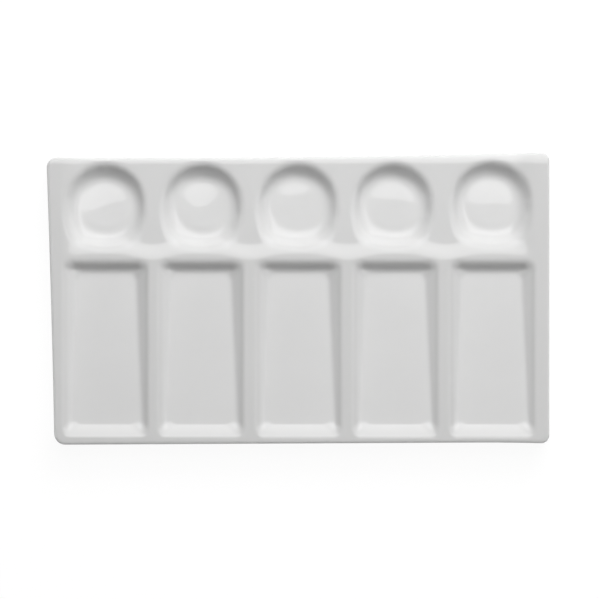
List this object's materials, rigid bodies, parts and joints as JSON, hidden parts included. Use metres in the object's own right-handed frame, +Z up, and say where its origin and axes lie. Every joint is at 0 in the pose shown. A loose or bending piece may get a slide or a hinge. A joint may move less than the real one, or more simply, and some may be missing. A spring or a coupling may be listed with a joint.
{
  "type": "mixing palette",
  "caption": "Rectangular glazed porcelain mixing palette with a row of round wells along its back, long slant-floored wells in front and a hollow underside on a bare foot.",
  "frame": {"origin": "on the surface that the palette stands on, under the middle of its outline", "axes": "+X along the rows of wells, +Y from the long wells to the round wells, +Z up out of the wells"},
  "size_m": [0.1906, 0.1112, 0.016],
  "materials": {
    "biscuit_porcelain": "unglazed, fine matt",
    "clear_white_glaze": "gloss",
    "underside_white_glaze": "gloss, thinner and less even than the top"
  },
  "bodies": {
    "root": {"porcelain_body": "biscuit_porcelain", "top_glaze": "clear_white_glaze", "underside_glaze": "underside_white_glaze"}
  },
  "joints": []
}
